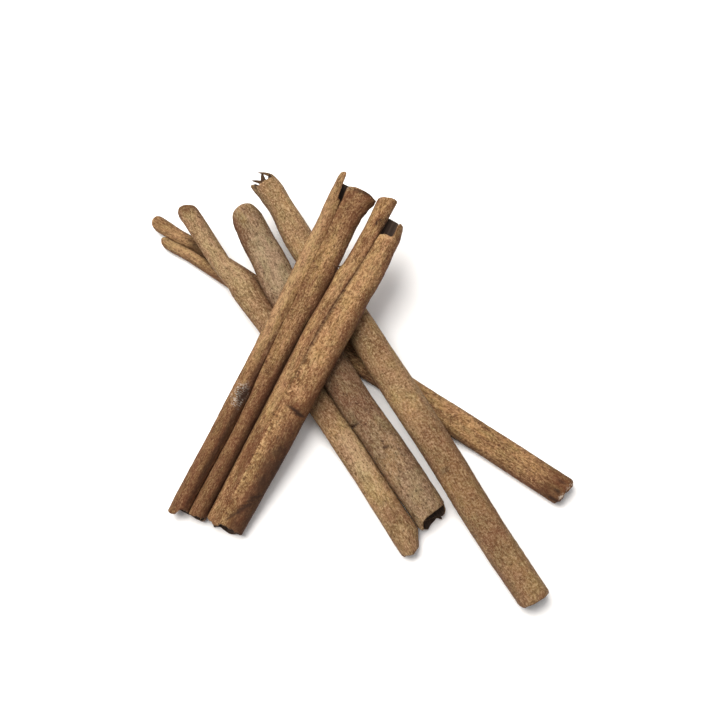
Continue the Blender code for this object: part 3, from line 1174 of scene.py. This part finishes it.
CROSSING_LEFT = SingleScroll(
    name="crossing_quill_left",
    slot="pale_bark",
    finish=PALE_FINISH,
    foot=(16.4, -51.2),
    heading=122.0,
    length=128.0,
    lift=(0, 6.5),
    sway=(
        (0, -0.1), (0.045, 1.0), (0.27, 1.1), (0.4, 1.0), (0.63, 1.2), (0.76, 0.9), (0.83, -1.0),
        (0.95, -1.0), (1, -1.2),
    ),
    width=(
        (0, 5.8), (0.045, 8.4), (0.12, 7.95), (0.2, 7.9), (0.27, 8.0), (0.36, 7.8), (0.6, 7.8), (0.74, 9.0),
        (0.77, 8.3), (0.83, 5.8), (0.95, 6.1), (1, 6.5),
    ),
    tall=((0, 5.0), (0.7, 5.4), (0.85, 5.4), (1, 5.4)),
    foot_reach=(
        (0, -0.5), (120, -0.2), (170, 0.5), (200, 0.8), (240, 0.1), (270, -0.1), (300, -0.5), (430, -1),
    ),
    tip_reach=(
        (60, -3), (115, -1.5), (140, -0.7), (170, -0.1), (205, -0.2), (240, -0.9), (270, -1.4), (300, -2.6),
        (430, -3.4),
    ),
    across_mm=11.5,
    columns=80,
    tear=(0.15, 0.06),
    worn=(1.2, 1.0),
    # Painted shade: darker and redder on the flanks, by turn round the curl.
    tone_and_painted_shade=((0, 0.9), (90, 0.7), (125, 0.4), (150, 0.05), (230, 0), (265, 0.3), (300, 0.9), (430, 0.9)),
    patches=(
        tone(127, 200, (2.5, 8), 0.6),
        tone(107, 200, (17, 3), -0.45),
        tone(88, 270, (16, 2.5), 0.5),
        tone(50, 200, (10, 3), 0.35),
        tone(32, 210, (12, 3), -0.6),
        tone(9, 210, (8, 3), 0.3),
    ),
)

CROSSING_MIDDLE = SingleScroll(
    name="crossing_quill_middle",
    slot="grey_bark",
    finish=GREY_FINISH,
    foot=(21.9, -40.5),
    heading=120.8,
    length=109.2,
    lift=(0.1, 8.1),
    sway=((0, -0.2), (0.2, -0.7), (0.4, -1.7), (0.74, -2.1), (0.88, -0.9), (1, 0)),
    width=((0, 10.2), (0.15, 10.5), (0.33, 10.1), (0.76, 10.9), (0.92, 9.9), (0.97, 9.4), (1, 8.4)),
    tall=((0, 8.2), (0.85, 8.0), (1, 7.2)),
    foot_reach=(
        (0, 1.8), (4, 1.9), (13, 0.85), (40, 1.6), (59, 2.6), (71, 2.2), (100, 0.6), (122, 1.6), (136, 2.7),
        (146, 2.5), (158, 1.1), (172, 0.7), (210, 0.35), (255, -0.2), (285, -1.0), (300, -1.1), (318, 0.6),
        (335, 1.2), (352, 1.4), (372, 0.5), (430, 0),
    ),
    tip_reach=((0, -0.2), (120, 0.2), (170, 1.6), (215, 2.0), (260, 1.4), (300, 0.2), (430, -1.4)),
    across_mm=16.5,
    columns=110,
    tear=(0.1, 0.08),
    worn=(0.3, 1.6),
    # Painted shade: darker and redder on the flanks, by turn round the curl.
    tone_and_painted_shade=((0, 0.8), (90, 0.7), (125, 0.5), (155, 0.1), (230, 0), (265, 0.2), (300, 0.7), (430, 0.8)),
    patches=(
        dark(33.6, 136, (0.5, 3.0), 1.0, lean=-8, sunk=0.3),
        dark(22.9, 196, (0.5, 0.9), 0.85, lean=-10, sunk=0.2),
        tone(103, 140, (7, 5), 0.6),
        tone(88, 205, (18, 5), -0.7),
        tone(44, 200, (12, 5), 0.4),
        tone(8, 200, (9, 5), -0.25),
    ),
)

CROSSING_RIGHT = DoubleScroll(
    name="crossing_quill_right",
    slot="pale_bark",
    finish=PALE_FINISH,
    foot=(50.3, -65.2),
    heading=121.1,
    length=150.3,
    lift=(0, 10.8),
    sway=((0, 0), (0.16, -0.4), (0.35, 0.1), (0.62, -0.1), (0.84, -1.1), (0.95, -0.4), (1, -0.3)),
    left=((0, 4.6), (0.3, 4.8), (0.48, 5.0), (0.62, 4.8), (0.86, 4.5), (0.94, 3.8), (0.97, 4.0), (1, 3.4)),
    right=((0, 4.6), (0.3, 4.8), (0.48, 5.0), (0.62, 4.8), (0.86, 4.5), (0.94, 3.8), (0.97, 4.2), (1, 4.7)),
    tall=((0, 6.4), (0.7, 6.2), (0.93, 5.4), (1, 5.6)),
    crown=1.0,
    roll=180,
    sweep=(310, 310),
    foot_reach=((-110, -0.6), (-75, 0.1), (0, 0.9), (60, 0.3), (85, -0.6), (110, -1.2)),
    tip_reach=(
        (-310, -2), (-215, -1.5), (-195, 0.6), (-150, 1.1), (-110, 0.6), (-80, -0.4), (-50, -1.4), (0, -1.0),
        (36, -0.9), (46, -0.5), (54, 0.2), (64, 0.7), (80, 0.9), (100, 1.2), (130, 2.2), (175, 2.2),
        (200, 0.8), (310, -2),
    ),
    across_mm=16.5,
    columns=110,
    tear=(0.12, 0.15),
    worn=(0.9, 0.3),
    # Painted shade: darker and redder on the flanks, by turn round the curl.
    tone_and_painted_shade=((-180, 0.8), (-110, 0.8), (-75, 0.45), (-40, 0), (40, 0), (75, 0.4), (110, 0.8), (180, 0.8)),
    splinters=(
        Splinter(
            ((2.1, 147.0, 3.2), (2.5, 149.6, 3.2), (2.2, 151.4, 3.1), (1.0, 152.9, 3.0), (-0.6, 154.3, 2.8)),
            2.0, 0.9, 0.45,
        ),
        Splinter(
            ((-0.9, 148.6, 3.4), (-0.7, 150.6, 3.2), (-0.2, 152.2, 3.0), (0.3, 153.4, 3.0)), 2.3, 0.9, 0.85
        ),
        Splinter(
            ((-0.6, 149.0, 3.0), (-1.4, 150.8, 2.8), (-2.4, 151.8, 2.8), (-3.6, 152.9, 2.7)), 1.8, 0.8, 0.75
        ),
        Splinter(((1.0, 148.6, 3.3), (1.5, 150.4, 3.3), (2.2, 152.0, 3.2)), 2.4, 1.0, 1.0),
    ),
    patches=(
        tone(8, 10, (20, 7), 0.35),
        tone(40, 0, (26, 6), 0.45),
        tone(86, 10, (12, 6), 0.25),
        # Painted shade of a small hole at the torn tip.
        dark(149.2, 47, (0.9, 0.5), 1.0),
        dark(43.9, 2, (1.2, 1.3), 0.5, ragged=1.0),
    ),
)

LOWEST = DoubleScroll(
    name="lowest_quill",
    slot="tan_bark",
    finish=TAN_FINISH,
    foot=(59.7, -33.1),
    heading=144.5,
    length=147.9,
    lift=(0, 0),
    sway=((0, 0.1), (0.4, -0.1), (0.8, 0.5), (0.9, 0), (0.97, -1.1), (1, -1.2)),
    left=((0, 4.5), (0.5, 4.2), (0.8, 4.2), (0.9, 3.6), (1, 2.8)),
    right=((0, 4.5), (0.5, 4.2), (0.9, 4.2), (1, 5.0)),
    tall=((0, 4.8), (0.6, 4.6), (1, 4.3)),
    flush=((0, 0.9), (0.5, 0.8), (0.8, 0), (1, 0)),
    crown=0,
    sweep=(300, 320),
    foot_reach=(
        (-300, 0.4), (-180, 1.5), (-130, 1.2), (-90, 0.3), (-45, 0.1), (0, 0.0), (45, 0.1), (90, 0.2),
        (135, 1.5), (180, 1.9), (300, 1.2),
    ),
    tip_reach=(
        (-300, -4.9), (-250, -4.1), (-200, -3.4), (-150, -3.3), (-110, -3.8), (-70, -4.8), (25, -2.2),
        (60, 0.9), (100, 2.2), (140, 3.0), (190, 3.1), (230, 2.5), (270, 1.2), (320, -0.8),
    ),
    across_mm=13.5,
    columns=96,
    tear=(0.12, 0.08),
    worn=(0.5, 0.9),
    shut=((0, 1), (0.24, 1), (0.42, 0.35), (0.55, 0)),
    relief=0.05,
    # Painted shade: darker and redder on the flanks, most on the lower one, by turn round the curl.
    tone_and_painted_shade=((-180, 0), (-135, 0.3), (-100, 0.9), (95, 0.6), (140, 0.05), (180, 0)),
    patches=(
        tone(1.5, 180, (6, 8), 0.9),
        tone(1.5, -180, (6, 8), 0.9),
        grey(-1.4, 160, (0.7, 4), 0.6, ragged=1.0),
        grey(-1.2, -160, (0.7, 4), 0.6, ragged=1.0),
        dark(0.8, -190, (1.3, 1.0), 0.7, ragged=1.0),
        dark(2.2, -150, (4.0, 3.0), 0.3),
        dark(1.2, 200, (1.6, 0.5), 0.6, ragged=1.0),
        dark(0.6, -120, (1.6, 0.6), 0.6, ragged=1.0),
        tone(138, -175, (9, 4), -0.8),
        tone(139, 190, (7, 3), -0.5),
        # The next two: painted shadow where the left crossing quill lies over it.
        tone(133, 190, (5, 4), 0.6),
        dark(132.5, 185, (5.0, 3.5), 0.6),
    ),
)

QUILLS = (LOWEST, CROSSING_LEFT, CROSSING_MIDDLE, CROSSING_RIGHT, LEANING_LEFT, LEANING_RIGHT)


@dataclass(frozen=True)
class Studio:
    """The plain pale floor, soft light and camera.

    Attributes:
        aim: the floor point that the camera looks at, in metres.
        elevation: degrees of the camera over the floor.
        away: metres from the camera to that point.
        spread: degrees across the picture, from half its width over its focal length, both in pixels.
        reach: metres from the middle of the floor to its edges.
        drop: metres that the floor lies under the quills, so that nothing of them lies in it.
        surroundings: how strong the light from all sides is.
    """

    aim: tuple[float, float] = (0.0017, 0.0093)
    elevation: float = 66.0
    away: float = 0.45
    spread: float = 2 * math.degrees(math.atan(360 / 1500))
    reach: float = 1.5
    drop: float = 0.00005
    surroundings: float = 0.22

    def floor(self) -> None:
        """Lays the floor."""
        mesh = bpy.data.meshes.new("floor")
        far = self.reach
        mesh.from_pydata([(-far, -far, 0), (far, -far, 0), (far, far, 0), (-far, far, 0)], [], [(0, 1, 2, 3)])
        floor = bpy.data.objects.new("floor", mesh)
        bpy.context.scene.collection.objects.link(floor)
        floor.location.z = -self.drop
        mat = bpy.data.materials.new("matt_white_card")
        mat.use_nodes = True
        shader = mat.node_tree.nodes["Principled BSDF"]
        shader.inputs["Base Color"].default_value = linear("#fbfaf9")
        shader.inputs["Roughness"].default_value = 1.0
        mesh.materials.append(mat)

    def lights(self) -> None:
        """Hangs a large soft light at the upper left and a weaker one overhead, and lights the world."""
        # Each one's name, place and width in metres, watts and colour. Both face the middle of the floor.
        for name, place, size, watts, colour in (
            ("key", (-0.42, 0.22, 1.05), 1.05, 23.6, "#fffcf7"),
            ("top", (0.1, -0.1, 1.2), 1.2, 6.0, "#fdfcff"),
        ):
            data = bpy.data.lights.new(name, "AREA")
            data.size = size
            data.energy = watts
            data.color = linear(colour)[:3]
            light = bpy.data.objects.new(name, data)
            light.location = place
            x, y, z = place
            light.rotation_euler = (math.atan2(math.hypot(x, y), z), 0, math.atan2(-y, -x) - math.pi / 2)
            bpy.context.scene.collection.objects.link(light)
        world = bpy.data.worlds.new("surroundings")
        bpy.context.scene.world = world
        world.use_nodes = True
        background = world.node_tree.nodes["Background"]
        background.inputs["Color"].default_value = linear("#fdfbf8")
        background.inputs["Strength"].default_value = self.surroundings

    def camera(self) -> None:
        """Sets up the camera at the photograph's angle."""
        data = bpy.data.cameras.new("camera")
        data.angle = math.radians(self.spread)
        camera = bpy.data.objects.new("camera", data)
        low = math.radians(self.elevation)
        camera.location = (self.aim[0], self.aim[1] - self.away * math.cos(low), self.away * math.sin(low))
        camera.rotation_euler = (math.radians(90 - self.elevation), 0, 0)
        bpy.context.scene.collection.objects.link(camera)
        bpy.context.scene.camera = camera

    def build(self) -> None:
        """Sets up the whole studio."""
        bpy.context.scene.view_settings.view_transform = "Standard"
        self.floor()
        self.lights()
        self.camera()


def main() -> None:
    """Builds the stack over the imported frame."""
    logging.basicConfig(level=logging.INFO, format="%(message)s")
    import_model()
    for quill in QUILLS:
        piece = quill.make()
        log.info("%s: %d faces", piece.name, len(piece.data.polygons))
    Studio().build()


if __name__ == "__main__":
    main()
